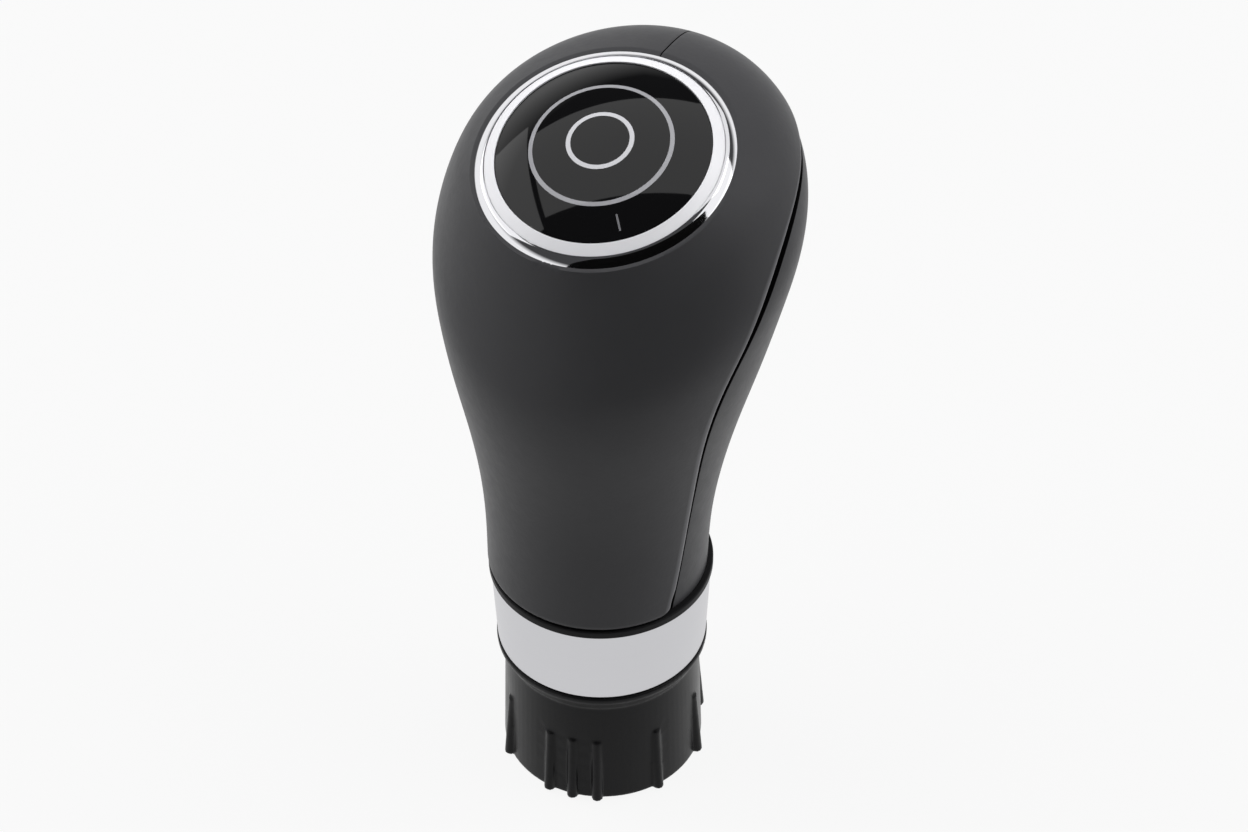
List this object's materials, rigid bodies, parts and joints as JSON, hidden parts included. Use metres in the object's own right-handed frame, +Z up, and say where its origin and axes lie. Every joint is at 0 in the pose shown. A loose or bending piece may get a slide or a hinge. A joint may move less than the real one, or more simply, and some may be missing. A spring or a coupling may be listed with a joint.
{
  "type": "gear shift knob",
  "caption": "Pear-shaped leather gear shift knob for an automatic selector lever, with a tilted round badge, a silver neck sleeve and a ribbed twist collar that locks it on.",
  "frame": {"origin": "on the lever axis at the foot of the lock collar, where the lever goes in", "axes": "+Z up along the lever, -Y towards the driver, the side the badge tilts to, +X to the driver's right"},
  "size_m": [0.0532, 0.0543, 0.1205],
  "materials": {
    "leather": "smooth, soft sheen",
    "core_plastic": "moulded",
    "black_plastic": "fine satin grain",
    "satin_metal": "satin silver",
    "socket_plastic": "moulded",
    "steel": "plain steel",
    "rubber": "matt",
    "chrome": "mirror bright",
    "bright_metal": "bright",
    "gloss_black": "high gloss"
  },
  "bodies": {
    "knob": {"front_leather": "leather", "rear_leather": "leather", "core": "core_plastic", "neck_ring": "black_plastic", "trim_sleeve": "satin_metal", "lever_socket": "socket_plastic", "socket_screws": "steel", "lever_stop": "rubber", "retaining_clip": "steel", "badge_carrier": "socket_plastic", "bezel_ring": "chrome", "badge_frame": "bright_metal", "badge_lens": "gloss_black"},
    "collar": {"lock_collar": "black_plastic"},
    "left_pawl": {"pawl_left": "steel"},
    "right_pawl": {"pawl_right": "steel"}
  },
  "joints": [
    {"name": "collar_turn", "type": "hinge", "parent": "knob", "child": "collar", "pos_m": [0, 0, 0], "axis": [0, 0, 1], "range_deg": [0, 60]},
    {"name": "left_pawl_slide", "type": "slide", "parent": "knob", "child": "left_pawl", "axis": [1, 0, 0], "range_m": [0, 0.001]},
    {"name": "right_pawl_slide", "type": "slide", "parent": "knob", "child": "right_pawl", "axis": [-1, 0, 0], "range_m": [0, 0.001]}
  ],
  "couplings": [
    {"joint": "left_pawl_slide", "follows": "collar_turn", "m_per_rad": 0.0009549},
    {"joint": "right_pawl_slide", "follows": "collar_turn", "m_per_rad": 0.0009549}
  ]
}
